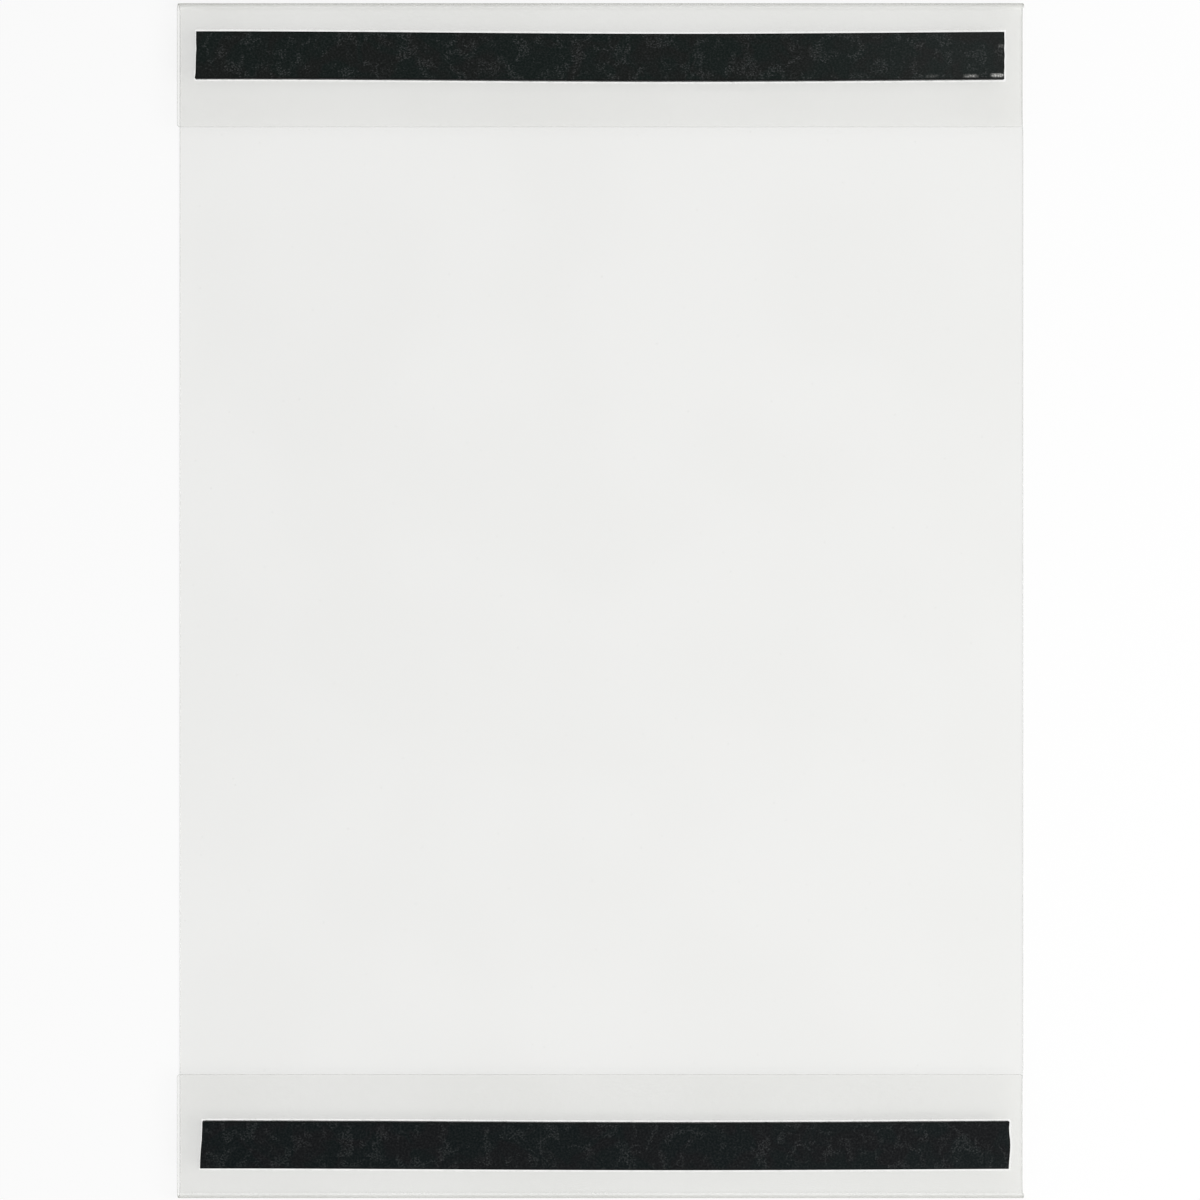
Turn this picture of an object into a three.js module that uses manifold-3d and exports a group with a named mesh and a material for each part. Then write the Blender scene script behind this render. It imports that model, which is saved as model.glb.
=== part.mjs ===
// Magnetic document pocket for one A4 sheet, lying on its front panel with the strips up.
//
// One sheet of clear film is folded over at its top and at its bottom, and the two flaps hold the
// ends of the document. Each flap carries a black magnetic strip, stuck down with clear tape.
//
// Millimetres. +X runs across the pocket, +Y to its top fold, and +Z from the front panel to the
// strips. The origin is the middle of the front panel's outer face.

import * as THREE from 'three';
import { mergeVertices } from 'three/addons/utils/BufferGeometryUtils.js';
import Module from 'manifold-3d';

// Document that the pocket holds
const DOCUMENT_WIDTH = 210;
const DOCUMENT_HEIGHT = 297;

// Film sheet
const FILM_THICKNESS = 0.4;
const SIDE_MARGIN = 5; // front panel past each side of the document
const END_MARGIN = 7; // front panel past each end of the document, out to the fold
const POCKET_GAP = 4.6; // clear height between the front panel and a flap
const FLAP_LENGTH = 32.6; // from the fold's outermost line to the flap's free edge
const FLAP_CORNER_RADIUS = 0.8;
const FOLD_STEPS = 24; // facets round each fold
const CORNER_STEPS = 6; // facets round each flap corner
const CUT_CLEARANCE = 1; // how far a cutter reaches past what it cuts

// Magnetic strips
const STRIP_WIDTH = 12.2;
const STRIP_THICKNESS = 1.0;
const STRIP_END_MARGIN = 5.2; // flap past each end of a strip
const TOP_FOLD_MARGIN = 5.25; // flat flap between the fold and the top strip
const BOTTOM_FOLD_MARGIN = 5.65; // the same at the bottom strip
const STRIP_STEPS = 36; // facets along each long edge
const STRIP_END_STEPS = 4; // facets along each end

// How the strips were laid by hand: each is a little off centre, bows towards the pocket's bottom
// edge, and has ends that weren't cut quite square
const BOW_PEAK = 20; // deepest place of the bow, right of the strip's middle
const BOW_REACH = 120; // from there to where the strip is straight again
const TOP_SHIFT = -0.25;
const TOP_BOW = 0.65;
const TOP_LEFT_SLANT = 0.15; // lower corner past the upper one
const TOP_RIGHT_BULGE = 0.1; // middle of the end past its corners
const BOTTOM_SHIFT = 0.9;
const BOTTOM_BOW = 0.45;
const BOTTOM_LEFT_SLANT = 0.6;
const BOTTOM_RIGHT_BULGE = 0.4;

// Clear double-sided tape under each strip
const TAPE_THICKNESS = 0.1;
const TAPE_MARGIN = 0.3; // tape past the strip, all round

// Sizes and levels that follow from the ones above
const coverWidth = DOCUMENT_WIDTH + 2 * SIDE_MARGIN;
const coverHeight = DOCUMENT_HEIGHT + 2 * END_MARGIN;
const flapTop = 2 * FILM_THICKNESS + POCKET_GAP;
const foldRadius = flapTop / 2;
const foldInnerRadius = foldRadius - FILM_THICKNESS;
const foldCentre = coverHeight / 2 - foldRadius;
const stripLength = coverWidth - 2 * STRIP_END_MARGIN;
const freeEdge = coverHeight / 2 - FLAP_LENGTH;

// Materials
const clearFilm = new THREE.MeshStandardMaterial({
  color: 0xeaeae8,
  roughness: 0.25,
  metalness: 0,
  transparent: true,
  opacity: 0.35,
});
const magneticRubber = new THREE.MeshStandardMaterial({ color: 0x232625, roughness: 0.6, metalness: 0 });
const clearTape = new THREE.MeshStandardMaterial({ color: 0xf2f2ee, roughness: 0.4, metalness: 0 });

const wasm = await Module();
wasm.setup();

/** Turns a closed three.js geometry into a solid that can be cut. */
function toSolid(geometry) {
  const bare = geometry.clone();
  bare.deleteAttribute('normal');
  bare.deleteAttribute('uv');
  const merged = mergeVertices(bare);
  return new wasm.Manifold(
    new wasm.Mesh({
      numProp: 3,
      vertProperties: new Float32Array(merged.attributes.position.array),
      triVerts: new Uint32Array(merged.index.array),
    })
  );
}

/** Turns a solid back into a three.js geometry. */
function toGeometry(solid) {
  const { vertProperties, triVerts } = solid.getMesh();
  const geometry = new THREE.BufferGeometry();
  geometry.setAttribute('position', new THREE.BufferAttribute(vertProperties, 3));
  geometry.setIndex(new THREE.BufferAttribute(triVerts, 1));
  geometry.computeVertexNormals();
  return geometry;
}

/** The film's section, with its x along the pocket's +Y and its y along +Z. */
function filmSection() {
  const section = new THREE.Shape();
  const up = Math.PI / 2;
  section.moveTo(-foldCentre, 0);
  section.lineTo(foldCentre, 0);
  section.absarc(foldCentre, foldRadius, foldRadius, -up, up, false);
  section.lineTo(freeEdge, flapTop);
  section.lineTo(freeEdge, flapTop - FILM_THICKNESS);
  section.lineTo(foldCentre, flapTop - FILM_THICKNESS);
  section.absarc(foldCentre, foldRadius, foldInnerRadius, up, -up, true);
  section.lineTo(-foldCentre, FILM_THICKNESS);
  section.absarc(-foldCentre, foldRadius, foldInnerRadius, -up, up, true);
  section.lineTo(-freeEdge, flapTop - FILM_THICKNESS);
  section.lineTo(-freeEdge, flapTop);
  section.lineTo(-foldCentre, flapTop);
  section.absarc(-foldCentre, foldRadius, foldRadius, up, -up, false);
  return section;
}

/** The folded sheet with square corners: its section drawn out over the pocket's width. */
function foldedSheet() {
  const sheet = new THREE.ExtrudeGeometry(filmSection(), {
    depth: coverWidth,
    bevelEnabled: false,
    curveSegments: FOLD_STEPS,
  });
  const across = new THREE.Vector3(1, 0, 0);
  const along = new THREE.Vector3(0, 1, 0);
  const up = new THREE.Vector3(0, 0, 1);
  sheet.applyMatrix4(new THREE.Matrix4().makeBasis(along, up, across));
  sheet.translate(-coverWidth / 2, 0, 0);
  return sheet;
}

/** What is trimmed from one flap corner: the square outside a quarter circle. */
function cornerCutter(sideX, sideY) {
  const reach = FLAP_CORNER_RADIUS + CUT_CLEARANCE;
  const offcut = new THREE.Shape();
  offcut.moveTo(FLAP_CORNER_RADIUS, 0);
  offcut.absarc(0, 0, FLAP_CORNER_RADIUS, 0, Math.PI / 2, false);
  offcut.lineTo(0, reach);
  offcut.lineTo(reach, reach);
  offcut.lineTo(reach, 0);
  const cutter = new THREE.ExtrudeGeometry(offcut, {
    depth: FILM_THICKNESS + POCKET_GAP,
    bevelEnabled: false,
    curveSegments: CORNER_STEPS,
  });
  // The offcut points halfway between +X and +Y, and is turned to point off its own corner
  cutter.rotateZ(Math.atan2(-sideY, sideX) - Math.PI / 4);
  cutter.translate(
    sideX * (coverWidth / 2 - FLAP_CORNER_RADIUS),
    sideY * (freeEdge + FLAP_CORNER_RADIUS),
    flapTop - FILM_THICKNESS - POCKET_GAP / 2
  );
  return cutter;
}

/** The clear film cover, with the four corners of its flaps rounded. */
function coverGeometry() {
  let solid = toSolid(foldedSheet());
  for (const sideX of [-1, 1]) {
    for (const sideY of [-1, 1]) {
      solid = solid.subtract(toSolid(cornerCutter(sideX, sideY)));
    }
  }
  return toGeometry(solid);
}

/** How far a strip's middle line lies below straight at x. */
function bowAt(x, bow) {
  const reach = THREE.MathUtils.clamp((x - BOW_PEAK) / BOW_REACH, -1, 1);
  return bow * Math.cos((reach * Math.PI) / 2) ** 2;
}

/** One flat layer of a strip, grown by a margin all round and shaped the way the strip was laid. */
function layerGeometry(lay, level, thickness, margin) {
  const halfLength = stripLength / 2 + margin;
  const halfWidth = STRIP_WIDTH / 2 + margin;
  const layer = new THREE.BoxGeometry(
    2 * halfLength, 2 * halfWidth, thickness, STRIP_STEPS, STRIP_END_STEPS, 1
  );
  layer.translate(0, 0, level + thickness / 2);
  const place = layer.attributes.position;
  for (let i = 0; i < place.count; i++) {
    const along = place.getX(i) / halfLength;
    const across = place.getY(i) / halfWidth;
    const bulge = Math.max(along, 0) * lay.rightBulge * (1 - across ** 2);
    const slant = (Math.max(-along, 0) * lay.leftSlant * (1 + across)) / 2;
    const x = place.getX(i) + bulge + slant;
    place.setXY(i, x, place.getY(i) - bowAt(x, lay.bow));
  }
  return layer;
}

function namedMesh(name, geometry, material) {
  const mesh = new THREE.Mesh(geometry, material);
  mesh.name = name;
  return mesh;
}

/** A magnetic strip on its tape, stuck on the flap at the top or at the bottom. */
function stripGroup(end, sideY, lay) {
  const tape = layerGeometry(lay, flapTop, TAPE_THICKNESS, TAPE_MARGIN);
  const strip = layerGeometry(lay, flapTop + TAPE_THICKNESS, STRIP_THICKNESS, 0);
  const group = new THREE.Group();
  group.add(namedMesh(`${end}_adhesive_tape`, tape, clearTape));
  group.add(namedMesh(`${end}_magnetic_strip`, strip, magneticRubber));
  group.position.set(lay.shift, sideY * (foldCentre - lay.foldMargin - STRIP_WIDTH / 2), 0);
  return group;
}

const pocket = new THREE.Group();
pocket.add(namedMesh('cover_sheet', coverGeometry(), clearFilm));
pocket.add(
  stripGroup('top', 1, {
    foldMargin: TOP_FOLD_MARGIN,
    shift: TOP_SHIFT,
    bow: TOP_BOW,
    leftSlant: TOP_LEFT_SLANT,
    rightBulge: TOP_RIGHT_BULGE,
  })
);
pocket.add(
  stripGroup('bottom', -1, {
    foldMargin: BOTTOM_FOLD_MARGIN,
    shift: BOTTOM_SHIFT,
    bow: BOTTOM_BOW,
    leftSlant: BOTTOM_LEFT_SLANT,
    rightBulge: BOTTOM_RIGHT_BULGE,
  })
);

export default pocket;
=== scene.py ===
"""The looks of a magnetic document pocket for one A4 sheet, lying on its front panel.

One clear film is folded over at the top and at the bottom into two flaps. Each flap carries a black
magnetic strip on clear double-sided tape. Metres, with +X across the pocket, +Y towards its top
fold and +Z from the front panel up to the strips.
"""

import logging
import math
from dataclasses import dataclass
from enum import Enum
from typing import Callable, Union

import bmesh
import bpy
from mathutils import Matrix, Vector


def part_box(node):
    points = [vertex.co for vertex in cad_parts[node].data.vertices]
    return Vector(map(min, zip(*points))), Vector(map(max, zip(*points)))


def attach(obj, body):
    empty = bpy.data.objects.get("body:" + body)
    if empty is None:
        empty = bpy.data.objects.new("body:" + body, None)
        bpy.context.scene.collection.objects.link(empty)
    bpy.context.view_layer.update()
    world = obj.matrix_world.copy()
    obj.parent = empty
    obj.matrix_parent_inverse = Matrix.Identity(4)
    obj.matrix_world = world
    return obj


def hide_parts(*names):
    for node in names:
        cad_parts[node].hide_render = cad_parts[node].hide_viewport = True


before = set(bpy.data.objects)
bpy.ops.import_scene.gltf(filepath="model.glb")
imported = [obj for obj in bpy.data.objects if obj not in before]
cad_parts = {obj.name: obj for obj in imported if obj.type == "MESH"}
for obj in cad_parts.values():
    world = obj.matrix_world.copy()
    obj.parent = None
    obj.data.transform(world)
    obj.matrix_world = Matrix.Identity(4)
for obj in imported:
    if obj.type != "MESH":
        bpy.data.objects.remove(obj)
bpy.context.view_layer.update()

BODY = "root"
MM = 0.001
SMOOTH_ANGLE = math.radians(18)
SHARP_ANGLE = math.radians(50)

Colour = tuple[float, float, float]
Triple = tuple[float, float, float]
Socket = bpy.types.NodeSocket
Value = Union[float, Socket]
PlaceTest = Callable[[Vector], bool]

log = logging.getLogger("document_pocket")


class End(Enum):
    """The two ends of the pocket, each with its side of Y."""

    TOP = 1
    BOTTOM = -1

    @property
    def label(self) -> str:
        """The end's name in a piece's name."""
        return self.name.lower()


class Pick(Enum):
    """What is picked on a mesh in edit mode, by its name in the select mode."""

    POINTS = "VERT"
    EDGES = "EDGE"


class Bench:
    """One piece in edit mode, to be shaped while the block runs."""

    def __init__(self, piece: bpy.types.Object) -> None:
        """Takes the piece to work on.

        Args:
            piece: The mesh object to shape.
        """
        self.piece = piece

    def __enter__(self) -> "Bench":
        """Makes the piece the only one selected and enters edit mode."""
        bpy.ops.object.select_all(action="DESELECT")
        self.piece.select_set(True)
        bpy.context.view_layer.objects.active = self.piece
        bpy.ops.object.mode_set(mode="EDIT")
        return self

    def __exit__(self, *reason: object) -> None:
        """Goes back to object mode."""
        bpy.ops.object.mode_set(mode="OBJECT")

    def pick(self, kind: Pick, test: PlaceTest) -> None:
        """Selects the points or edges whose place passes a test, and nothing else.

        An edge's place is its middle.

        Args:
            kind: What is picked.
            test: Says whether a place, in metres, is wanted.
        """
        bpy.ops.mesh.select_mode(type=kind.value)
        bpy.ops.mesh.select_all(action="DESELECT")
        shape = bmesh.from_edit_mesh(self.piece.data)
        if kind is Pick.POINTS:
            places = [(point, point.co) for point in shape.verts]
        else:
            places = [(edge, (edge.verts[0].co + edge.verts[1].co) / 2) for edge in shape.edges]
        for item, place in places:
            item.select_set(test(place))
        shape.select_flush_mode()
        bmesh.update_edit_mesh(self.piece.data)

    def stretch(self, width: float, height: float) -> None:
        """Sizes a unit sheet, all of which is selected.

        Args:
            width: Its size along X.
            height: Its size along Y.
        """
        bpy.ops.transform.resize(value=(width, height, 1), center_override=self.piece.location)

    def draw_out(self, step: Triple) -> None:
        """Extrudes what is selected.

        Args:
            step: How far, along each axis.
        """
        bpy.ops.mesh.extrude_region_move(TRANSFORM_OT_translate={"value": step})

    def coax(self, test: PlaceTest, step: Triple, reach: float) -> None:
        """Moves some points and draws the surface round them along, less the further it is.

        Args:
            test: Says which points move the whole way.
            step: How far they move, along each axis.
            reach: How far along the surface the pull dies away.
        """
        self.pick(Pick.POINTS, test)
        bpy.ops.transform.translate(
            value=step,
            use_proportional_edit=True,
            proportional_edit_falloff="SMOOTH",
            proportional_size=reach,
            use_proportional_connected=True,
        )

    def close_up(self) -> None:
        """Merges doubled points and turns every face the same way."""
        bpy.ops.mesh.select_all(action="SELECT")
        bpy.ops.mesh.remove_doubles(threshold=0.002 * MM)
        bpy.ops.mesh.normals_make_consistent(inside=False)


def new_sheet(name: str, columns: int, rows: int, centre: Triple) -> bpy.types.Object:
    """Adds a flat sheet, one unit each way, with a UV map from 0 to 1 across it.

    Args:
        name: The piece's name.
        columns: Cells along X.
        rows: Cells along Y.
        centre: Where its middle lies.

    Returns:
        The new object.
    """
    bpy.ops.object.select_all(action="DESELECT")
    bpy.ops.mesh.primitive_grid_add(
        x_subdivisions=columns, y_subdivisions=rows, size=1, location=centre
    )
    piece = bpy.context.object
    piece.name = name
    piece.data.name = name
    return piece


def finish_shape(piece: bpy.types.Object) -> None:
    """Applies a piece's modifiers, puts its place into its mesh and smooths its shading.

    Args:
        piece: The piece, in object mode.
    """
    bpy.ops.object.select_all(action="DESELECT")
    piece.select_set(True)
    bpy.context.view_layer.objects.active = piece
    for modifier in list(piece.modifiers):
        bpy.ops.object.modifier_apply(modifier=modifier.name)
    bpy.ops.object.transform_apply(location=True, rotation=True, scale=True)
    bpy.ops.object.shade_smooth_by_angle(angle=SMOOTH_ANGLE)
    piece.select_set(False)


class Wiring:
    """Adds and joins the shading nodes of one material or world."""

    def __init__(self, tree: bpy.types.NodeTree) -> None:
        """Starts from an empty tree.

        Args:
            tree: The node tree to fill.
        """
        self.tree = tree
        tree.nodes.clear()

    def add(self, kind: str, **settings: object) -> bpy.types.Node:
        """Adds a node.

        Args:
            kind: The node's type.
            **settings: Its properties.

        Returns:
            The node.
        """
        node = self.tree.nodes.new(kind)
        for name, value in settings.items():
            setattr(node, name, value)
        return node

    def feed(self, socket: Socket, value: object) -> None:
        """Joins a socket to another, or sets it.

        Args:
            socket: The input.
            value: An output socket, a number or a colour.
        """
        if isinstance(value, Socket):
            self.tree.links.new(value, socket)
        elif isinstance(value, tuple) and socket.type == "RGBA":
            socket.default_value = (*value, 1)
        else:
            socket.default_value = value

    def math(
        self, operation: str, first: Value, second: Value = 0.0, clamp: bool = False
    ) -> Socket:
        """One sum.

        Args:
            operation: The Math node's operation.
            first: Its first value.
            second: Its second value.
            clamp: Whether the result is held from 0 to 1.

        Returns:
            The result.
        """
        node = self.add("ShaderNodeMath", operation=operation, use_clamp=clamp)
        self.feed(node.inputs[0], first)
        self.feed(node.inputs[1], second)
        return node.outputs[0]

    def rise(
        self, value: Value, start: float, end: float, low: float = 0.0, high: float = 1.0
    ) -> Socket:
        """Turns one range of values into another, smoothly and without going past its ends.

        Args:
            value: What is read.
            start: The value that gives low.
            end: The value that gives high.
            low: The result at start.
            high: The result at end.

        Returns:
            The result.
        """
        node = self.add("ShaderNodeMapRange", interpolation_type="SMOOTHSTEP")
        settings = {"Value": value, "From Min": start, "From Max": end, "To Min": low, "To Max": high}
        for name, setting in settings.items():
            self.feed(node.inputs[name], setting)
        return node.outputs["Result"]

    def blend(self, share: Value, first: object, second: object) -> Socket:
        """Mixes two colours.

        Args:
            share: How much of the second one.
            first: The colour at 0.
            second: The colour at 1.

        Returns:
            The mixed colour.
        """
        node = self.add("ShaderNodeMix", data_type="RGBA")
        self.feed(node.inputs["Factor"], share)
        self.feed(node.inputs[6], first)
        self.feed(node.inputs[7], second)
        return node.outputs[2]

    def place(self, turn: float = 0.0, stretch: Triple = (1, 1, 1)) -> Socket:
        """The place on the object, in metres.

        Args:
            turn: A turn about Z, in radians.
            stretch: How much each axis is scaled.

        Returns:
            The place.
        """
        node = self.add("ShaderNodeMapping")
        node.inputs["Rotation"].default_value = (0, 0, turn)
        node.inputs["Scale"].default_value = stretch
        self.feed(node.inputs["Vector"], self.add("ShaderNodeTexCoord").outputs["Object"])
        return node.outputs["Vector"]

    def noise(self, place: Socket, size: float, detail: float = 2.0, warp: float = 0.0) -> Socket:
        """Soft noise about 0.5.

        Args:
            place: Where it is read.
            size: The size of its blotches, in metres.
            detail: How many finer layers it has.
            warp: How much it is stirred.

        Returns:
            The noise's value.
        """
        node = self.add("ShaderNodeTexNoise", noise_dimensions="2D")
        self.feed(node.inputs["Vector"], place)
        self.feed(node.inputs["Scale"], 1 / size)
        self.feed(node.inputs["Detail"], detail)
        self.feed(node.inputs["Distortion"], warp)
        return node.outputs["Fac"]

    def specks(self, place: Socket, spacing: float, radius: float) -> Socket:
        """Scattered soft dots.

        Args:
            place: Where they are read.
            spacing: The mean distance between dots, in metres.
            radius: A dot's radius, in metres.

        Returns:
            1 in the middle of a dot, and 0 between them.
        """
        node = self.add("ShaderNodeTexVoronoi", voronoi_dimensions="2D")
        self.feed(node.inputs["Vector"], place)
        self.feed(node.inputs["Scale"], 1 / spacing)
        return self.rise(node.outputs["Distance"], 0.3 * radius / spacing, radius / spacing, 1.0, 0.0)

    def relief(self, height: Socket, depth: float, after: Value = 0.0) -> Socket:
        """A bumpy normal.

        Args:
            height: The relief, from 0 to 1.
            depth: Its full height, in metres.
            after: A normal that this one is added to, or 0.

        Returns:
            The normal.
        """
        node = self.add("ShaderNodeBump")
        self.feed(node.inputs["Strength"], 1.0)
        self.feed(node.inputs["Distance"], depth)
        self.feed(node.inputs["Height"], height)
        if isinstance(after, Socket):
            self.feed(node.inputs["Normal"], after)
        return node.outputs["Normal"]

    def from_edge(self, run: Socket, size: float) -> Socket:
        """How far a place is from the nearer of two opposite edges.

        Args:
            run: How far the place is from the first edge.
            size: The distance between the two.

        Returns:
            The distance, in metres.
        """
        return self.math("MINIMUM", run, self.math("SUBTRACT", size, run))

    def fade_round(self, run: Socket, middle: float, full: float, end: float) -> Socket:
        """1 about one place on a run, falling to 0 on both sides of it.

        Args:
            run: How far along the run a place is.
            middle: Where the middle lies.
            full: How far from there it starts to fall.
            end: How far from there it reaches 0.

        Returns:
            The share, from 0 to 1.
        """
        off = self.math("ABSOLUTE", self.math("SUBTRACT", run, middle))
        return self.rise(off, full, end, 1.0, 0.0)

    def mix_surfaces(self, share: Value, first: Socket, second: Socket) -> Socket:
        """Mixes two shaders.

        Args:
            share: How much of the second one.
            first: The shader at 0.
            second: The shader at 1.

        Returns:
            The mixed shader.
        """
        node = self.add("ShaderNodeMixShader")
        self.feed(node.inputs[0], share)
        self.feed(node.inputs[1], first)
        self.feed(node.inputs[2], second)
        return node.outputs[0]

    def seen_rays(self) -> Socket:
        """1 for what the camera sees, straight, in gloss or through glass, and 0 for light."""
        rays = self.add("ShaderNodeLightPath").outputs
        straight_or_gloss = self.math("MAXIMUM", rays["Is Camera Ray"], rays["Is Glossy Ray"])
        return self.math("MAXIMUM", straight_or_gloss, rays["Is Transmission Ray"])


def new_material(name: str) -> tuple[bpy.types.Material, Wiring]:
    """Adds an empty material.

    Args:
        name: Its name.

    Returns:
        The material and the wiring of its nodes.
    """
    material = bpy.data.materials.new(name)
    material.use_nodes = True
    return material, Wiring(material.node_tree)


def show_surface(wiring: Wiring, surface: Socket) -> None:
    """Makes a shader the material's surface.

    Args:
        wiring: The material's nodes.
        surface: The shader.
    """
    wiring.feed(wiring.add("ShaderNodeOutputMaterial").inputs["Surface"], surface)


@dataclass(frozen=True)
class ClearFilm:
    """Stiff clear plastic film: glossy, with a faint warm haze that shows most at grazing angles.

    The haze and the gloss of both its faces are on the outer one, and the inner one is plain clear.
    The haze falls to its flap share between the panel's level and the flaps', so the panel's extra
    haze is painted shade where the sheet lies on the table.
    """

    name: str = "clear_film"
    # The panel's haze, whose excess over the flaps' share is painted shade where the sheet lies on
    # the table
    haze: float = 0.20
    haze_change: float = 0.05
    flap_haze_share: float = 0.66
    panel_level: float = 0.5 * MM
    flap_level: float = 4.5 * MM
    patch: float = 45 * MM
    tint: Colour = (0.55, 0.555, 0.485)
    matt_roughness: float = 0.5
    head_on_gloss: float = 0.04
    grazing_gloss: float = 0.9
    grazing_power: float = 5.0
    least_facing: float = 0.06
    roughness: float = 0.12
    roughness_change: float = 0.2
    wave: float = 38 * MM
    wave_depth: float = 0.10 * MM
    speck_spacing: float = 16 * MM
    speck_radius: float = 0.35 * MM
    speck_density: float = 0.05

    def material(self) -> bpy.types.Material:
        """Makes the material.

        Returns:
            The film's material.
        """
        material, wiring = new_material(self.name)
        place = wiring.place()
        blotches = wiring.noise(place, self.patch, detail=1)
        patches = wiring.rise(blotches, 0.3, 0.7, 1 - self.haze_change, 1 + self.haze_change)
        away = wiring.add("ShaderNodeLayerWeight")
        away.inputs["Blend"].default_value = 0.5
        slant = away.outputs["Facing"]
        normal = wiring.relief(wiring.noise(place, self.wave, detail=1), self.wave_depth)

        clear = wiring.add("ShaderNodeBsdfTransparent").outputs[0]
        cover = self.haze_cover(wiring, place, patches, slant)
        body = wiring.mix_surfaces(cover, clear, self.milky_surface(wiring, normal))
        gloss = self.gloss_surface(wiring, patches, normal)
        show_surface(wiring, wiring.mix_surfaces(self.gloss_share(wiring, slant), body, gloss))
        return material

    def haze_cover(self, wiring: Wiring, place: Socket, patches: Socket, slant: Socket) -> Socket:
        """How much of the film the haze and the dust on it cover, with painted shade on the panel as
        extra haze.

        Args:
            wiring: The material's nodes.
            place: The place on the film.
            patches: The haze's slow change from place to place, about 1.
            slant: 0 where the film is seen head on, and 1 at a grazing angle.

        Returns:
            The share, from 0 to 1.
        """
        axes = wiring.add("ShaderNodeSeparateXYZ")
        wiring.feed(axes.inputs[0], place)
        on_flap = self.haze * self.flap_haze_share
        level = axes.outputs["Z"]
        # The panel's extra haze over the flaps' is painted shade where the sheet lies on the table
        haze_and_painted_panel_shade = wiring.rise(level, self.panel_level, self.flap_level, self.haze, on_flap)
        specks = wiring.specks(place, self.speck_spacing, self.speck_radius)
        dust = wiring.math("MULTIPLY", specks, self.speck_density)
        haze = wiring.math("ADD", wiring.math("MULTIPLY", patches, haze_and_painted_panel_shade), dust)
        facing = wiring.math("MAXIMUM", wiring.math("SUBTRACT", 1.0, slant), self.least_facing)
        return wiring.math("DIVIDE", haze, facing, clamp=True)

    def gloss_share(self, wiring: Wiring, slant: Socket) -> Socket:
        """How much the film mirrors, which grows towards a grazing angle.

        Args:
            wiring: The material's nodes.
            slant: 0 where the film is seen head on, and 1 at a grazing angle.

        Returns:
            The share, from 0 to 1.
        """
        glancing = wiring.math("POWER", slant, self.grazing_power)
        risen = wiring.math("MULTIPLY", glancing, self.grazing_gloss)
        return wiring.math("ADD", risen, self.head_on_gloss, clamp=True)

    def milky_surface(self, wiring: Wiring, normal: Socket) -> Socket:
        """The film's matt haze.

        Args:
            wiring: The material's nodes.
            normal: The film's bumpy normal.

        Returns:
            The shader.
        """
        milky = wiring.add("ShaderNodeBsdfPrincipled")
        wiring.feed(milky.inputs["Base Color"], self.tint)
        wiring.feed(milky.inputs["Roughness"], self.matt_roughness)
        wiring.feed(milky.inputs["Specular IOR Level"], 0.0)
        wiring.feed(milky.inputs["Normal"], normal)
        return milky.outputs[0]

    def gloss_surface(self, wiring: Wiring, patches: Socket, normal: Socket) -> Socket:
        """The film's mirror, a little sharper in some patches than in others.

        Args:
            wiring: The material's nodes.
            patches: The haze's slow change from place to place, about 1.
            normal: The film's bumpy normal.

        Returns:
            The shader.
        """
        low = 1 - self.roughness_change
        high = 1 + self.roughness_change
        roughness = wiring.rise(patches, low, high, low * self.roughness, high * self.roughness)
        gloss = wiring.add("ShaderNodeBsdfGlossy")
        wiring.feed(gloss.inputs["Color"], (1, 1, 1))
        wiring.feed(gloss.inputs["Roughness"], roughness)
        wiring.feed(gloss.inputs["Normal"], normal)
        return gloss.outputs[0]

    def inner_material(self) -> bpy.types.Material:
        """Makes the inner face's material.

        Returns:
            The plain clear material.
        """
        material, wiring = new_material(f"{self.name}_inner_face")
        show_surface(wiring, wiring.add("ShaderNodeBsdfTransparent").outputs[0])
        return material


@dataclass(frozen=True)
class FleckLayer:
    """Pale flecks on the rubber that are all drawn out the same way."""

    turn: float
    squash: float
    spacing: float
    strength: float


@dataclass(frozen=True)
class SmearAndGlint:
    """A pale mark, partly dust worn into the rubber and partly a painted highlight on its rounded
    edge, measured from the strip's left end and from its lower edge.
    """

    along: float
    across: float
    reach: float
    strength: float
    half_height: float = 0.7 * MM


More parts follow.
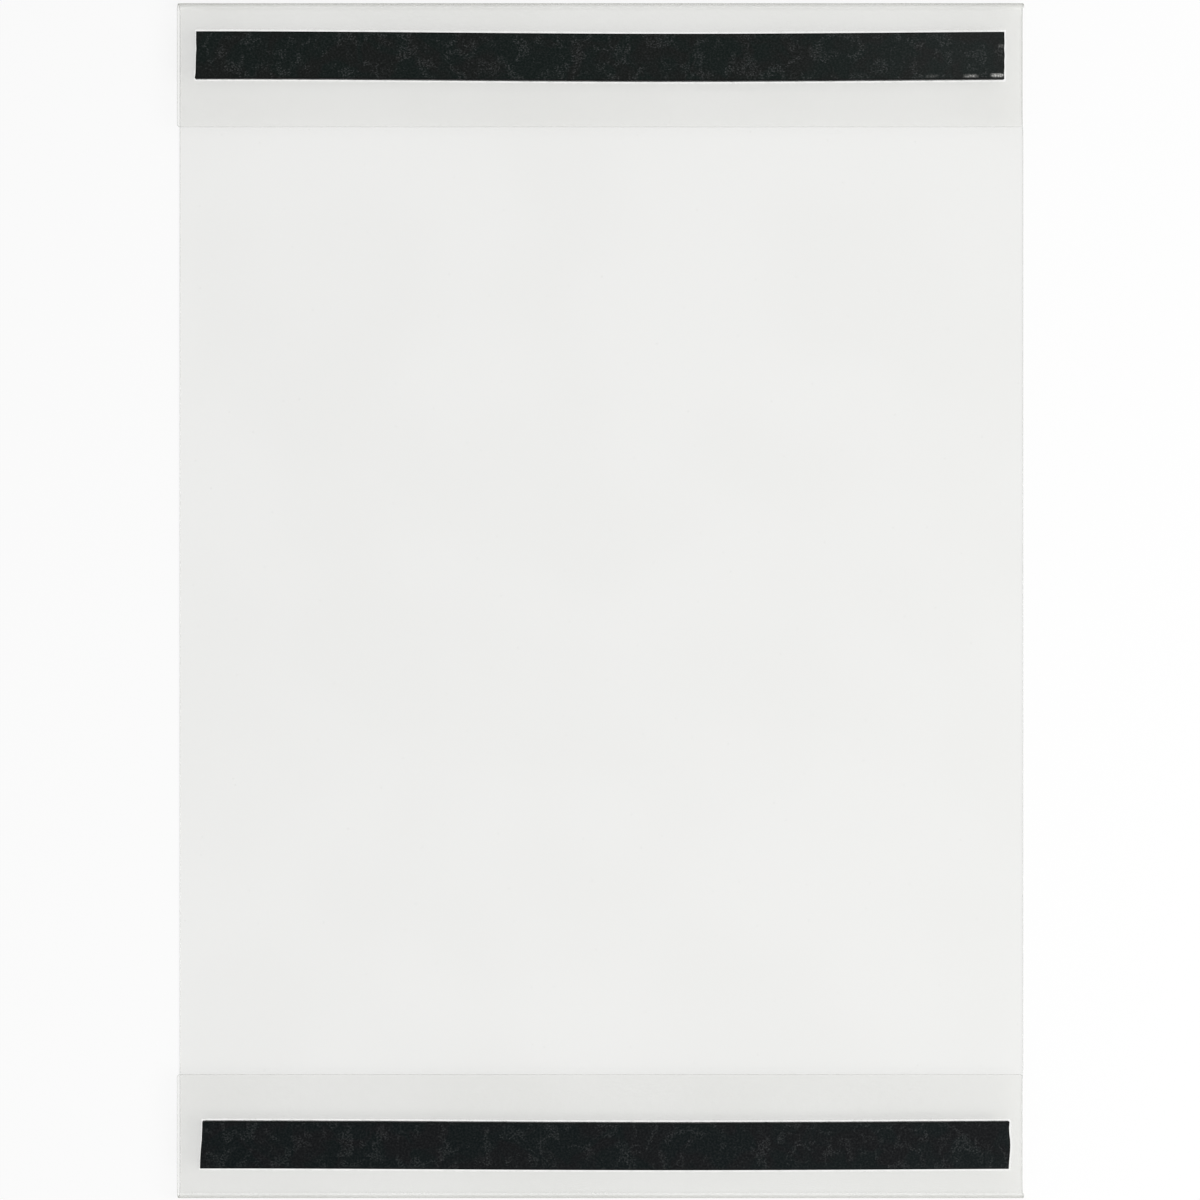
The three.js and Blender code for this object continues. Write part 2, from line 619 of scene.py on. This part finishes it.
@dataclass(frozen=True)
class RubberStrip:
    """Black magnetic rubber: dull, mottled green-black and brown-black, with pale dust on it, painted
    shade along its cut edges, and pale marks that are partly worn-in dust and partly painted
    highlight.
    """

    name: str
    length: float
    width: float
    base: Colour = (0.0023, 0.0057, 0.0048)
    brown: Colour = (0.0050, 0.0061, 0.0055)
    dust: Colour = (0.11, 0.115, 0.115)
    # Pale grey of the marks that are partly worn-in dust and partly painted highlight
    rubbed_dust_and_glint: Colour = (0.6, 0.6, 0.58)
    # Painted shade along the cut edges, where the rounded edge turns from the light
    edge: Colour = (0.0020, 0.0026, 0.0024)
    edge_shade_width: float = 0.45 * MM
    edge_shade_strength: float = 0.75
    mottle: float = 9 * MM
    mottle_depth: float = 0.03 * MM
    grain: float = 0.55 * MM
    grain_depth: float = 0.02 * MM
    grain_dust: float = 0.06
    scuff: float = 4 * MM
    scuff_dust: float = 0.12
    fleck_radius: float = 0.24 * MM
    fleck_share: float = 1.4
    fleck_layers: tuple[FleckLayer, ...] = (
        FleckLayer(turn=0.7, squash=2.4, spacing=1.3 * MM, strength=0.34),
        FleckLayer(turn=-0.35, squash=1.8, spacing=1.0 * MM, strength=0.26),
    )
    smears_and_glints: tuple[SmearAndGlint, ...] = ()
    worn_end: float = 0.0
    worn_dust: float = 0.05
    smooth_roughness: float = 0.52
    coarse_roughness: float = 0.66
    gloss: float = 0.07

    def material(self) -> bpy.types.Material:
        """Makes the material.

        Returns:
            The strip's material.
        """
        material, wiring = new_material(self.name)
        place = wiring.place()
        along, across = self.distances(wiring)
        mottle = wiring.noise(place, self.mottle, detail=4, warp=0.6)
        mottle = wiring.rise(mottle, start=0.42, end=0.62)
        grain = wiring.rise(wiring.noise(place, self.grain, detail=2), start=0.35, end=0.75)
        colour = wiring.blend(mottle, self.base, self.brown)
        colour = self.add_dust(wiring, colour, place, grain)
        colour = self.add_wear_and_glints(wiring, colour, along, across, grain)
        colour = self.add_painted_edge_shade(wiring, colour, along, across)
        roughness = wiring.rise(mottle, 0.0, 1.0, self.smooth_roughness, self.coarse_roughness)
        normal = wiring.relief(grain, self.grain_depth, wiring.relief(mottle, self.mottle_depth))

        rubber = wiring.add("ShaderNodeBsdfPrincipled")
        wiring.feed(rubber.inputs["Base Color"], colour)
        wiring.feed(rubber.inputs["Roughness"], roughness)
        wiring.feed(rubber.inputs["Specular IOR Level"], self.gloss)
        wiring.feed(rubber.inputs["Normal"], normal)
        show_surface(wiring, rubber.outputs[0])
        return material

    def distances(self, wiring: Wiring) -> tuple[Socket, Socket]:
        """Reads a place from the strip's UV map.

        Args:
            wiring: The material's nodes.

        Returns:
            How far it is from the left end and from the lower edge, in metres.
        """
        flat = wiring.add("ShaderNodeSeparateXYZ")
        wiring.feed(flat.inputs[0], wiring.add("ShaderNodeTexCoord").outputs["UV"])
        along = wiring.math("MULTIPLY", flat.outputs["X"], self.length)
        across = wiring.math("MULTIPLY", flat.outputs["Y"], self.width)
        return along, across

    def add_dust(self, wiring: Wiring, colour: Socket, place: Socket, grain: Socket) -> Socket:
        """Adds the dust in the grain, the scuffs and the flecks, which lie thickest on the scuffs.

        Args:
            wiring: The material's nodes.
            colour: The colour before.
            place: The place on the strip.
            grain: The rubber's fine grain.

        Returns:
            The colour after.
        """
        colour = wiring.blend(wiring.math("MULTIPLY", grain, self.grain_dust), colour, self.dust)
        scuffed = wiring.noise(place, self.scuff, detail=4, warp=0.8)
        scuffed = wiring.rise(scuffed, start=0.48, end=0.66)
        scuffs = wiring.math("MULTIPLY", wiring.math("MULTIPLY", scuffed, grain), self.scuff_dust)
        colour = wiring.blend(scuffs, colour, self.dust)
        thickness = wiring.rise(scuffed, 0.0, 1.0, low=0.2, high=1.0)
        for layer in self.fleck_layers:
            drawn_out = wiring.place(layer.turn, (1, layer.squash, 1))
            flecks = wiring.specks(drawn_out, layer.spacing, self.fleck_radius)
            flecks = wiring.math("MULTIPLY", flecks, thickness)
            strength = layer.strength * self.fleck_share
            colour = wiring.blend(wiring.math("MULTIPLY", flecks, strength), colour, self.dust)
        return colour

    def add_wear_and_glints(
        self, wiring: Wiring, colour: Socket, along: Socket, across: Socket, grain: Socket
    ) -> Socket:
        """Makes the worn end pale with dust, and paints the pale marks, which are partly dust and
        partly a painted highlight on the rounded edge.

        Args:
            wiring: The material's nodes.
            colour: The colour before.
            along: How far a place is from the left end.
            across: How far it is from the lower edge.
            grain: The rubber's fine grain.

        Returns:
            The colour after.
        """
        if self.worn_end:
            start = self.length - self.worn_end
            worn = wiring.rise(along, start, self.length, 0.0, self.worn_dust)
            colour = wiring.blend(worn, colour, self.dust)
        # Pale marks, partly dust and partly a painted highlight on the rounded edge
        for smear_and_glint in self.smears_and_glints:
            near = wiring.fade_round(along, smear_and_glint.along, 0.2 * smear_and_glint.reach, smear_and_glint.reach)
            level = wiring.fade_round(across, smear_and_glint.across, 0.0, smear_and_glint.half_height)
            grit = wiring.rise(grain, 0.1, 0.8, low=0.3, high=1.0)
            patch = wiring.math("MULTIPLY", wiring.math("MULTIPLY", near, level), grit)
            colour = wiring.blend(wiring.math("MULTIPLY", patch, smear_and_glint.strength), colour, self.rubbed_dust_and_glint)
        return colour

    def add_painted_edge_shade(self, wiring: Wiring, colour: Socket, along: Socket, across: Socket) -> Socket:
        """Darkens the strip along its cut edges with painted shade, where the rounded edge turns from
        the light.

        Args:
            wiring: The material's nodes.
            colour: The colour before.
            along: How far a place is from the left end.
            across: How far it is from the lower edge.

        Returns:
            The colour after.
        """
        from_ends = wiring.from_edge(along, self.length)
        from_sides = wiring.from_edge(across, self.width)
        inset = wiring.math("MINIMUM", from_ends, from_sides)
        # Painted shade in a thin band inside the cut edges
        painted_edge_shade = wiring.rise(inset, 0.4 * self.edge_shade_width, self.edge_shade_width, 1.0, 0.0)
        return wiring.blend(wiring.math("MULTIPLY", painted_edge_shade, self.edge_shade_strength), colour, self.edge)


@dataclass(frozen=True)
class TapeFinish:
    """Clear double-sided tape, which shows white and slightly milky at its edge."""

    name: str
    pale: Colour = (0.93, 0.93, 0.92)
    milky: Colour = (0.84, 0.845, 0.83)
    mirror: float = 0.85
    streak: float = 3 * MM
    streak_depth: float = 0.01 * MM
    sharp_roughness: float = 0.08
    soft_roughness: float = 0.16

    def material(self) -> bpy.types.Material:
        """Makes the material.

        Returns:
            The tape's material.
        """
        material, wiring = new_material(self.name)
        place = wiring.place()
        streaks = wiring.rise(wiring.noise(place, self.streak, detail=3), start=0.4, end=0.75)
        roughness = wiring.rise(streaks, 0.0, 1.0, self.sharp_roughness, self.soft_roughness)
        tape = wiring.add("ShaderNodeBsdfPrincipled")
        wiring.feed(tape.inputs["Metallic"], self.mirror)
        wiring.feed(tape.inputs["Base Color"], wiring.blend(streaks, self.pale, self.milky))
        wiring.feed(tape.inputs["Roughness"], roughness)
        wiring.feed(tape.inputs["Normal"], wiring.relief(streaks, self.streak_depth))
        show_surface(wiring, tape.outputs[0])
        return material


@dataclass(frozen=True)
class PaleFloor:
    """The studio's white table: it takes soft shadows, and shows almost white to the camera."""

    lit: Colour = (0.16, 0.16, 0.16)
    glow: float = 0.823
    side: float = 12.0
    drop: float = 0.1 * MM

    def build(self) -> bpy.types.Object:
        """Adds the table just under the pocket.

        Returns:
            The floor.
        """
        bpy.ops.object.select_all(action="DESELECT")
        bpy.ops.mesh.primitive_plane_add(size=self.side, location=(0, 0, -self.drop))
        floor = bpy.context.object
        floor.name = "floor"
        material, wiring = new_material("pale_floor")
        matt = wiring.add("ShaderNodeBsdfDiffuse")
        wiring.feed(matt.inputs["Color"], self.lit)
        shine = wiring.add("ShaderNodeEmission")
        wiring.feed(shine.inputs["Strength"], wiring.math("MULTIPLY", wiring.seen_rays(), self.glow))
        both = wiring.add("ShaderNodeAddShader")
        wiring.feed(both.inputs[0], matt.outputs[0])
        wiring.feed(both.inputs[1], shine.outputs[0])
        show_surface(wiring, both.outputs[0])
        floor.data.materials.append(material)
        return floor


@dataclass(frozen=True)
class FilmCover:
    """The clear cover: one sheet, its two ends folded over into flaps."""

    half_width: float
    half_height: float
    flap_top: float
    flap_edge: float
    thickness: float = 0.4 * MM
    columns: int = 44
    rows: int = 60
    fold_steps: int = 24
    flap_rows: int = 12
    corner: float = 0.8 * MM
    flap_shortfall: float = 0.55 * MM
    shortfall_fade: float = 8 * MM
    panel_overhang: float = 0.3 * MM
    overhang_fade: float = 5 * MM
    cut_round: float = 0.14 * MM
    name: str = "folded_film_cover"

    @property
    def fold_centre(self) -> float:
        """How far a fold's centre lies from the pocket's middle."""
        return self.half_height - self.flap_top / 2

    def build(self) -> bpy.types.Object:
        """Folds the sheet, dresses it and puts it in the CAD sheet's place.

        Returns:
            The cover.
        """
        piece = new_sheet(self.name, self.columns, self.rows, (0, 0, self.thickness / 2))
        with Bench(piece) as bench:
            bench.stretch(2 * self.half_width, 2 * self.fold_centre)
        bpy.ops.object.transform_apply(location=True, rotation=True, scale=True)
        with Bench(piece) as bench:
            for end in End:
                self.fold_over(bench, end)
            bench.close_up()
            bench.coax(self.at_right_edge, (self.panel_overhang, 0, 0), self.overhang_fade)
            for end in End:
                self.trim_flap(bench, end)
            self.slacken(bench)
        self.give_thickness(piece)
        finish_shape(piece)
        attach(piece, BODY)
        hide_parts("cover_sheet")
        return piece

    def at_right_edge(self, place: Vector) -> bool:
        """Whether a place is on the panel's right edge, between the two flaps."""
        on_panel = place.z < MM and abs(place.y) < self.flap_edge
        return on_panel and place.x > self.half_width - 0.1 * MM

    def fold_over(self, bench: Bench, end: End) -> None:
        """Spins one end of the panel round its fold, and draws the flap out from it.

        Args:
            bench: The piece being shaped.
            end: Which end.
        """
        side = end.value
        bench.pick(
            Pick.EDGES,
            lambda place: side * place.y > self.fold_centre - 0.01 * MM and place.z < MM,
        )
        bpy.ops.mesh.spin(
            steps=self.fold_steps,
            angle=math.pi,
            center=(0, side * self.fold_centre, self.flap_top / 2),
            axis=(-side, 0, 0),
        )
        step = (self.fold_centre - self.flap_edge) / self.flap_rows
        for _ in range(self.flap_rows):
            bench.draw_out((0, -side * step, 0))

    def trim_flap(self, bench: Bench, end: End) -> None:
        """Cuts one flap narrower at the right, less so round its fold, and rounds its free corners.

        Args:
            bench: The piece being shaped.
            end: Which end.
        """
        side = end.value
        level = self.flap_top - self.thickness
        bench.pick(
            Pick.POINTS,
            lambda place: place.z > level and 0 < side * place.y < self.fold_centre + 0.5 * MM,
        )
        bpy.ops.transform.resize(
            value=(1 - self.flap_shortfall / (2 * self.half_width), 1, 1),
            center_override=(-self.half_width, 0, 0),
            use_proportional_edit=True,
            proportional_edit_falloff="SMOOTH",
            proportional_size=self.shortfall_fade,
            use_proportional_connected=True,
        )
        bench.pick(
            Pick.POINTS,
            lambda place: place.z > level
            and abs(side * place.y - self.flap_edge) < 0.01 * MM
            and abs(place.x) > self.half_width - MM,
        )
        bpy.ops.mesh.bevel(offset=self.corner, segments=5, affect="VERTICES")

    def slacken(self, bench: Bench) -> None:
        """Gives the stiff sheet the slight rise and fall that it has when it lies loose.

        Args:
            bench: The piece being shaped.
        """
        low = self.thickness
        # Middle of each swelling in the panel, its height and how far it reaches, in millimetres
        for x, y, lift, reach in (
            (-62, 48, 0.16, 70),
            (48, -30, 0.20, 80),
            (70, 86, 0.12, 50),
            (-40, -92, 0.14, 60),
        ):
            centre = Vector((x * MM, y * MM, low / 2))
            bench.coax(
                lambda place: place.z < low and (place.xy - centre.xy).length < 4 * MM,
                (0, 0, lift * MM),
                reach * MM,
            )
        level = self.flap_top - self.thickness
        # Where a flap's free edge lifts or sinks, on which side of Y, and how far, in millimetres
        for x, side, lift in ((-70, 1, 0.10), (35, 1, -0.12), (-20, -1, 0.12), (80, -1, -0.10)):
            bench.coax(
                lambda place: place.z > level
                and abs(side * place.y - self.flap_edge) < 0.5 * MM
                and abs(place.x - x * MM) < 6 * MM,
                (0, 0, lift * MM),
                11 * MM,
            )

    def give_thickness(self, piece: bpy.types.Object) -> None:
        """Thickens the sheet, with its cut edge in a finish of its own and slightly rounded.

        Args:
            piece: The folded sheet.
        """
        film = ClearFilm()
        piece.data.materials.append(film.material())
        cut_edge = ClearFilm(
            name="film_cut_edge",
            haze=0.32,
            tint=(0.54, 0.55, 0.51),
            roughness=0.25,
            speck_density=0.0,
        )
        piece.data.materials.append(cut_edge.material())
        piece.data.materials.append(film.inner_material())
        solid = piece.modifiers.new("thickness", "SOLIDIFY")
        solid.thickness = self.thickness
        solid.offset = 0
        solid.use_even_offset = True
        solid.material_offset_rim = 1
        solid.material_offset = 2
        rounding = piece.modifiers.new("rounded_cut", "BEVEL")
        rounding.width = self.cut_round
        rounding.segments = 2
        rounding.limit_method = "ANGLE"
        rounding.angle_limit = SHARP_ANGLE
        rounding.material = 1


@dataclass(frozen=True)
class Nick:
    """A dent that the cutter left in a strip's end, or a point where the depth is below 0.

    The side is -1 at the left end and 1 at the right, and the height is up from the middle line.
    """

    side: int
    height: float
    depth: float


@dataclass(frozen=True)
class MagneticStrip:
    """A magnetic strip, laid by hand: slightly bowed, and not cut quite square."""

    end: End
    low: Vector
    high: Vector
    bow: float
    left_slant: float
    right_bulge: float
    finish: RubberStrip
    nicks: tuple[Nick, ...]
    width: float = 12.2 * MM
    columns: int = 84
    rows: int = 8
    bow_peak: float = 20 * MM
    bow_reach: float = 120 * MM
    edge_round: float = 0.12 * MM
    nick_reach: float = 1.8 * MM

    @property
    def name(self) -> str:
        """The piece's name."""
        return f"{self.end.label}_rubber_strip"

    @property
    def centre_y(self) -> float:
        """The strip's middle line where it is straight, which is at its left end."""
        return self.high.y - self.width / 2

    def build(self) -> bpy.types.Object:
        """Models and dresses the strip in the CAD strip's place.

        Returns:
            The strip.
        """
        centre = ((self.low.x + self.high.x - self.right_bulge) / 2, self.centre_y, self.low.z)
        piece = new_sheet(self.name, self.columns, self.rows, centre)
        length = self.high.x - self.low.x - self.right_bulge
        with Bench(piece) as bench:
            bench.stretch(length, self.width)
        bpy.ops.object.transform_apply(location=True, rotation=True, scale=True)
        with Bench(piece) as bench:
            bpy.ops.mesh.select_all(action="SELECT")
            bench.draw_out((0, 0, self.high.z - self.low.z))
            bench.close_up()
            self.cut_ends(bench, centre[0] - length / 2, centre[0] + length / 2)
            self.lay_bowed(bench, length)
        rounding = piece.modifiers.new("rounded_edge", "BEVEL")
        rounding.width = self.edge_round
        rounding.segments = 2
        rounding.limit_method = "ANGLE"
        rounding.angle_limit = SHARP_ANGLE
        finish_shape(piece)
        piece.data.materials.append(self.finish.material())
        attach(piece, BODY)
        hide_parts(f"{self.end.label}_magnetic_strip")
        return piece

    def cut_ends(self, bench: Bench, left: float, right: float) -> None:
        """Gives the two ends the slant, the bulge and the nicks that the cutter left.

        Args:
            bench: The piece being shaped.
            left: The left end's X.
            right: The right end's X.
        """
        near = 0.3 * MM
        top = self.centre_y + self.width / 2
        bench.coax(
            lambda place: place.x < left + near and place.y > top - near,
            (self.left_slant, 0, 0),
            self.width,
        )
        bench.coax(
            lambda place: place.x > right - near and abs(place.y - self.centre_y) < near,
            (self.right_bulge, 0, 0),
            self.width / 2,
        )
        for nick in self.nicks:
            edge = left if nick.side < 0 else right
            level = self.centre_y + nick.height
            bench.coax(
                lambda place: abs(place.x - edge) < 0.7 * MM and abs(place.y - level) < 0.8 * MM,
                (-nick.side * nick.depth, 0, 0),
                self.nick_reach,
            )

    def lay_bowed(self, bench: Bench, length: float) -> None:
        """Bows the strip towards the pocket's bottom edge.

        Args:
            bench: The piece being shaped.
            length: The strip's length.
        """
        half_cell = 0.55 * length / self.columns
        bench.coax(
            lambda place: abs(place.x - self.bow_peak) < half_cell,
            (0, -self.bow, 0),
            self.bow_reach,
        )


@dataclass(frozen=True)
class AdhesiveTape:
    """The clear tape under a strip, which stands out a little all round.

    The far margin is the one towards the fold, and the near one is towards the flap's free edge.
    """

    strip: MagneticStrip
    floor: float
    ceiling: float
    finish: TapeFinish
    left_margin: float = 0.30 * MM
    right_margin: float = 0.55 * MM
    near_margin: float = 0.55 * MM
    far_margin: float = 0.60 * MM

    @property
    def name(self) -> str:
        """The piece's name."""
        return f"{self.strip.end.label}_tape_layer"

    def build(self) -> bpy.types.Object:
        """Models and dresses the tape in the CAD tape's place.

        Returns:
            The tape.
        """
        strip = self.strip
        left = strip.low.x - self.left_margin
        right = strip.high.x - strip.right_bulge + self.right_margin
        width = strip.width + self.near_margin + self.far_margin
        middle = strip.centre_y + strip.end.value * (self.far_margin - self.near_margin) / 2
        centre = ((left + right) / 2, middle, self.floor)
        piece = new_sheet(self.name, strip.columns, strip.rows, centre)
        with Bench(piece) as bench:
            bench.stretch(right - left, width)
        bpy.ops.object.transform_apply(location=True, rotation=True, scale=True)
        with Bench(piece) as bench:
            bpy.ops.mesh.select_all(action="SELECT")
            bench.draw_out((0, 0, self.ceiling - self.floor))
            bench.close_up()
            strip.cut_ends(bench, left, right)
            strip.lay_bowed(bench, right - left)
        finish_shape(piece)
        piece.data.materials.append(self.finish.material())
        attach(piece, BODY)
        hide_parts(f"{strip.end.label}_adhesive_tape")
        return piece


@dataclass(frozen=True)
class Softbox:
    """A square area lamp that points at the pocket."""

    name: str
    place: Triple
    size: float
    power: float

    def build(self) -> bpy.types.Object:
        """Adds the lamp.

        Returns:
            The lamp.
        """
        lamp = bpy.data.lights.new(self.name, "AREA")
        lamp.shape = "SQUARE"
        lamp.size = self.size
        lamp.energy = self.power
        holder = bpy.data.objects.new(self.name, lamp)
        bpy.context.scene.collection.objects.link(holder)
        holder.location = self.place
        holder.rotation_euler = (-Vector(self.place)).to_track_quat("-Z", "Y").to_euler()
        return holder


@dataclass(frozen=True)
class Studio:
    """The table, the soft light and the camera straight above."""

    camera_place: Triple = (-0.235 * MM, 0.17 * MM, 770 * MM)
    lens: float = 88.41
    sensor: float = 36.0
    sky_light: float = 0.395
    softboxes: tuple[Softbox, ...] = (
        Softbox(name="right_softbox", place=(0.75, -0.15, 0.85), size=0.7, power=9.8),
        Softbox(name="low_softbox", place=(0.0, -1.5, 0.55), size=0.9, power=5.0),
    )

    def build(self) -> None:
        """Sets up the floor, lamps, world and camera."""
        PaleFloor().build()
        for softbox in self.softboxes:
            softbox.build()
        self.light_world()
        self.aim_camera()
        bpy.context.scene.view_settings.view_transform = "Standard"

    def light_world(self) -> None:
        """Lights from all round, with a white backdrop for the camera."""
        scene = bpy.context.scene
        scene.world = bpy.data.worlds.new("studio")
        scene.world.use_nodes = True
        wiring = Wiring(scene.world.node_tree)
        light = wiring.add("ShaderNodeBackground")
        wiring.feed(light.inputs["Strength"], self.sky_light)
        backdrop = wiring.add("ShaderNodeBackground")
        wiring.feed(backdrop.inputs["Strength"], 1.0)
        for sky in (light, backdrop):
            wiring.feed(sky.inputs["Color"], (1, 1, 1))
        both = wiring.mix_surfaces(wiring.seen_rays(), light.outputs[0], backdrop.outputs[0])
        wiring.feed(wiring.add("ShaderNodeOutputWorld").inputs["Surface"], both)

    def aim_camera(self) -> None:
        """Puts the camera above the pocket, looking straight down with +Y up in the picture."""
        view = bpy.data.cameras.new("camera")
        view.lens = self.lens
        view.sensor_width = self.sensor
        holder = bpy.data.objects.new("camera", view)
        holder.location = self.camera_place
        bpy.context.scene.collection.objects.link(holder)
        bpy.context.scene.camera = holder


def top_strip() -> MagneticStrip:
    """The strip on the top flap, worn at its right end, with pale marks near its lower corner that
    are partly dust and partly a painted highlight on the rounded edge.
    """
    low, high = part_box("top_magnetic_strip")
    finish = RubberStrip(
        name="top_magnetic_rubber",
        length=high.x - low.x,
        width=MagneticStrip.width,
        # Pale marks near the right end, mostly along the lower edge: partly dust, partly a painted
        # highlight on the rounded edge
        smears_and_glints=(
            SmearAndGlint(along=208.1 * MM, across=0.9 * MM, reach=2.4 * MM, strength=1.5),
            SmearAndGlint(along=201.0 * MM, across=0.75 * MM, reach=2.4 * MM, strength=0.6),
            SmearAndGlint(along=190.9 * MM, across=0.8 * MM, reach=2.2 * MM, strength=0.14),
            SmearAndGlint(along=208.9 * MM, across=8.5 * MM, reach=1.3 * MM, strength=0.20),
        ),
        worn_end=70 * MM,
    )
    return MagneticStrip(
        end=End.TOP,
        low=low,
        high=high,
        bow=0.65 * MM,
        left_slant=0.15 * MM,
        right_bulge=0.1 * MM,
        finish=finish,
        nicks=(
            Nick(side=1, height=2.2 * MM, depth=0.12 * MM),
            Nick(side=1, height=-1.5 * MM, depth=0.10 * MM),
            Nick(side=1, height=-4.0 * MM, depth=0.08 * MM),
            Nick(side=-1, height=1.0 * MM, depth=0.12 * MM),
            Nick(side=-1, height=-5.7 * MM, depth=-0.22 * MM),
        ),
    )


def bottom_strip() -> MagneticStrip:
    """The strip on the bottom flap, a little darker and bluer, with its ends cut askew."""
    low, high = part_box("bottom_magnetic_strip")
    finish = RubberStrip(
        name="bottom_magnetic_rubber",
        length=high.x - low.x,
        width=MagneticStrip.width,
        base=(0.0002, 0.0024, 0.0027),
        brown=(0.0026, 0.0030, 0.0036),
        fleck_share=0.8,
    )
    return MagneticStrip(
        end=End.BOTTOM,
        low=low,
        high=high,
        bow=0.45 * MM,
        left_slant=0.6 * MM,
        right_bulge=0.4 * MM,
        finish=finish,
        nicks=(
            Nick(side=-1, height=1.0 * MM, depth=0.06 * MM),
            Nick(side=1, height=2.6 * MM, depth=0.06 * MM),
            Nick(side=1, height=5.7 * MM, depth=-0.22 * MM),
        ),
    )


def film_cover() -> FilmCover:
    """The folded cover, its sizes read from the CAD sheet."""
    flap_length = 32.6 * MM
    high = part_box("cover_sheet")[1]
    return FilmCover(
        half_width=high.x,
        half_height=high.y,
        flap_top=high.z,
        flap_edge=high.y - flap_length,
    )


def tape_under(strip: MagneticStrip, finish: TapeFinish) -> AdhesiveTape:
    """The tape that holds a strip down.

    Args:
        strip: The strip.
        finish: The tape's finish.

    Returns:
        The tape, not yet built.
    """
    low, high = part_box(f"{strip.end.label}_adhesive_tape")
    return AdhesiveTape(strip=strip, floor=low.z, ceiling=high.z, finish=finish)


def main() -> None:
    """Builds the pocket and its studio, and reports each piece."""
    logging.basicConfig(level=logging.INFO, format="%(message)s")
    strips = (top_strip(), bottom_strip())
    tapes = tuple(
        tape_under(strip, TapeFinish(name=f"{strip.end.label}_clear_tape")) for strip in strips
    )
    for maker in (film_cover(), *strips, *tapes):
        piece = maker.build()
        log.info("%s: %d faces", piece.name, len(piece.data.polygons))
    Studio().build()


if __name__ == "__main__":
    main()
